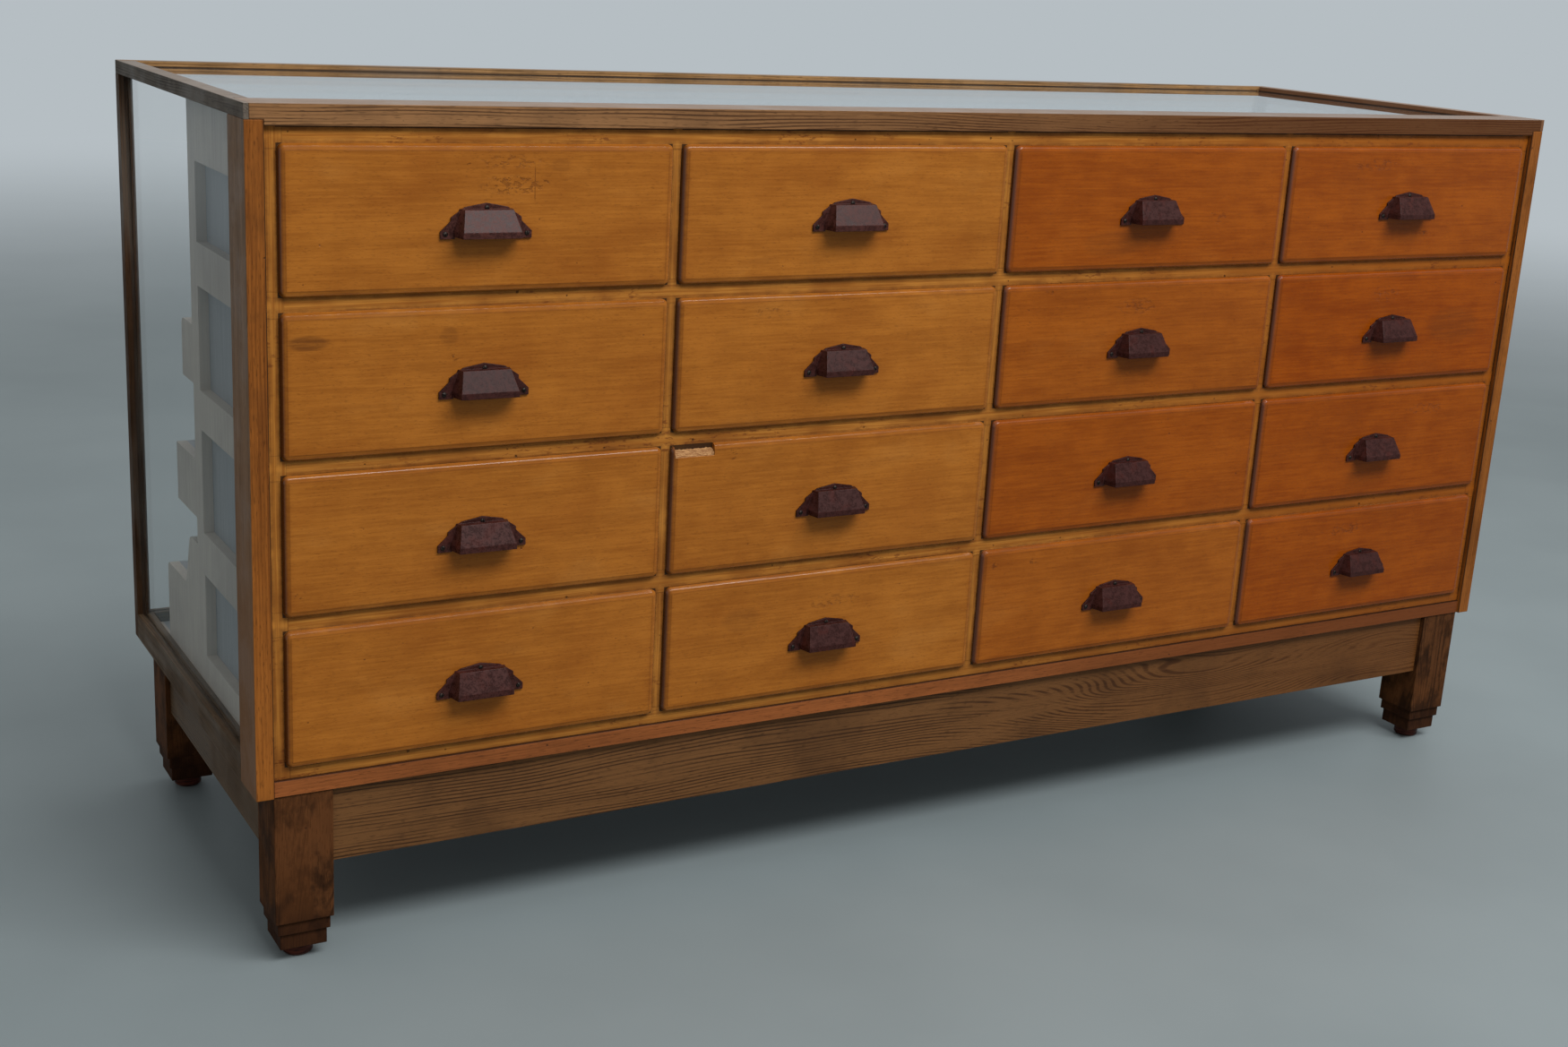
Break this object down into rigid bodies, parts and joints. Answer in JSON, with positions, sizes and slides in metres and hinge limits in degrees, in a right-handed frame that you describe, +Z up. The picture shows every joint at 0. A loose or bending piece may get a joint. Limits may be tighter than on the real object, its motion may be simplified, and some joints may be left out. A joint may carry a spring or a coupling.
{
  "type": "haberdashery cabinet",
  "caption": "Floor-standing glazed oak shop counter on stepped legs, with lipped drawers and faceted cup pulls on one side and stepped display shelves behind glass on the other.",
  "frame": {"origin": "on the floor, under the middle of the whole object's bounding box, pulls included", "axes": "+X along the counter, to the right seen from the drawer side; +Y from the drawer side to the display side; +Z up"},
  "size_m": [1.83, 0.5996, 0.932],
  "materials": {
    "oak": "worn wax over brown stain",
    "stained_oak": "reddish stain, worn",
    "beech_frame": "dusty aged lacquer",
    "beech_drawer": "aged amber lacquer, satin",
    "softwood": "bare",
    "painted_board": "warm grey paint, satin",
    "turned_hardwood": "dark stain",
    "bakelite": "mottled dark brown, dulled gloss",
    "glass": "clear"
  },
  "bodies": {
    "cabinet": {"post_front_left": "oak", "post_front_right": "oak", "posts_rear": "oak", "top_rail_front": "oak", "top_rail_rear": "oak", "top_rails_end": "oak", "bottom_rails_end": "oak", "bottom_rail_rear": "oak", "base_rail_front": "stained_oak", "glass_top": "glass", "glass_left": "glass", "glass_right": "glass", "glass_rear": "glass", "plinth_aprons": "oak", "leg_front_left": "oak", "leg_front_right": "oak", "leg_rear_left": "oak", "leg_rear_right": "oak", "leg_glides": "turned_hardwood", "face_frame": "beech_frame", "carcase_end_left": "painted_board", "carcase_end_right": "painted_board", "partitions": "softwood", "drawer_runners": "softwood", "carcase_back": "painted_board", "carcase_top": "painted_board", "display_shelves": "painted_board", "case_floor": "softwood"},
    "sliding_drawer_row1_column1": {"drawer_row1_column1": "beech_drawer", "pull_row1_column1": "bakelite"},
    "sliding_drawer_row1_column2": {"drawer_row1_column2": "beech_drawer", "pull_row1_column2": "bakelite"},
    "sliding_drawer_row1_column3": {"drawer_row1_column3": "beech_drawer", "pull_row1_column3": "bakelite"},
    "sliding_drawer_row1_column4": {"drawer_row1_column4": "beech_drawer", "pull_row1_column4": "bakelite"},
    "sliding_drawer_row2_column1": {"drawer_row2_column1": "beech_drawer", "pull_row2_column1": "bakelite"},
    "sliding_drawer_row2_column2": {"drawer_row2_column2": "beech_drawer", "pull_row2_column2": "bakelite"},
    "sliding_drawer_row2_column3": {"drawer_row2_column3": "beech_drawer", "pull_row2_column3": "bakelite"},
    "sliding_drawer_row2_column4": {"drawer_row2_column4": "beech_drawer", "pull_row2_column4": "bakelite"},
    "sliding_drawer_row3_column1": {"drawer_row3_column1": "beech_drawer", "pull_row3_column1": "bakelite"},
    "sliding_drawer_row3_column2": {"drawer_row3_column2": "beech_drawer", "pull_row3_column2": "bakelite"},
    "sliding_drawer_row3_column3": {"drawer_row3_column3": "beech_drawer", "pull_row3_column3": "bakelite"},
    "sliding_drawer_row3_column4": {"drawer_row3_column4": "beech_drawer", "pull_row3_column4": "bakelite"},
    "sliding_drawer_row4_column1": {"drawer_row4_column1": "beech_drawer", "pull_row4_column1": "bakelite"},
    "sliding_drawer_row4_column2": {"drawer_row4_column2": "beech_drawer", "pull_row4_column2": "bakelite"},
    "sliding_drawer_row4_column3": {"drawer_row4_column3": "beech_drawer", "pull_row4_column3": "bakelite"},
    "sliding_drawer_row4_column4": {"drawer_row4_column4": "beech_drawer", "pull_row4_column4": "bakelite"}
  },
  "joints": [
    {"name": "drawer_slide_row1_column1", "type": "slide", "parent": "cabinet", "child": "sliding_drawer_row1_column1", "axis": [0, -1, 0], "range_m": [0, 0.235]},
    {"name": "drawer_slide_row1_column2", "type": "slide", "parent": "cabinet", "child": "sliding_drawer_row1_column2", "axis": [0, -1, 0], "range_m": [0, 0.235]},
    {"name": "drawer_slide_row1_column3", "type": "slide", "parent": "cabinet", "child": "sliding_drawer_row1_column3", "axis": [0, -1, 0], "range_m": [0, 0.235]},
    {"name": "drawer_slide_row1_column4", "type": "slide", "parent": "cabinet", "child": "sliding_drawer_row1_column4", "axis": [0, -1, 0], "range_m": [0, 0.235]},
    {"name": "drawer_slide_row2_column1", "type": "slide", "parent": "cabinet", "child": "sliding_drawer_row2_column1", "axis": [0, -1, 0], "range_m": [0, 0.235]},
    {"name": "drawer_slide_row2_column2", "type": "slide", "parent": "cabinet", "child": "sliding_drawer_row2_column2", "axis": [0, -1, 0], "range_m": [0, 0.235]},
    {"name": "drawer_slide_row2_column3", "type": "slide", "parent": "cabinet", "child": "sliding_drawer_row2_column3", "axis": [0, -1, 0], "range_m": [0, 0.235]},
    {"name": "drawer_slide_row2_column4", "type": "slide", "parent": "cabinet", "child": "sliding_drawer_row2_column4", "axis": [0, -1, 0], "range_m": [0, 0.235]},
    {"name": "drawer_slide_row3_column1", "type": "slide", "parent": "cabinet", "child": "sliding_drawer_row3_column1", "axis": [0, -1, 0], "range_m": [0, 0.235]},
    {"name": "drawer_slide_row3_column2", "type": "slide", "parent": "cabinet", "child": "sliding_drawer_row3_column2", "axis": [0, -1, 0], "range_m": [0, 0.235]},
    {"name": "drawer_slide_row3_column3", "type": "slide", "parent": "cabinet", "child": "sliding_drawer_row3_column3", "axis": [0, -1, 0], "range_m": [0, 0.235]},
    {"name": "drawer_slide_row3_column4", "type": "slide", "parent": "cabinet", "child": "sliding_drawer_row3_column4", "axis": [0, -1, 0], "range_m": [0, 0.235]},
    {"name": "drawer_slide_row4_column1", "type": "slide", "parent": "cabinet", "child": "sliding_drawer_row4_column1", "axis": [0, -1, 0], "range_m": [0, 0.235]},
    {"name": "drawer_slide_row4_column2", "type": "slide", "parent": "cabinet", "child": "sliding_drawer_row4_column2", "axis": [0, -1, 0], "range_m": [0, 0.235]},
    {"name": "drawer_slide_row4_column3", "type": "slide", "parent": "cabinet", "child": "sliding_drawer_row4_column3", "axis": [0, -1, 0], "range_m": [0, 0.235]},
    {"name": "drawer_slide_row4_column4", "type": "slide", "parent": "cabinet", "child": "sliding_drawer_row4_column4", "axis": [0, -1, 0], "range_m": [0, 0.235]}
  ]
}
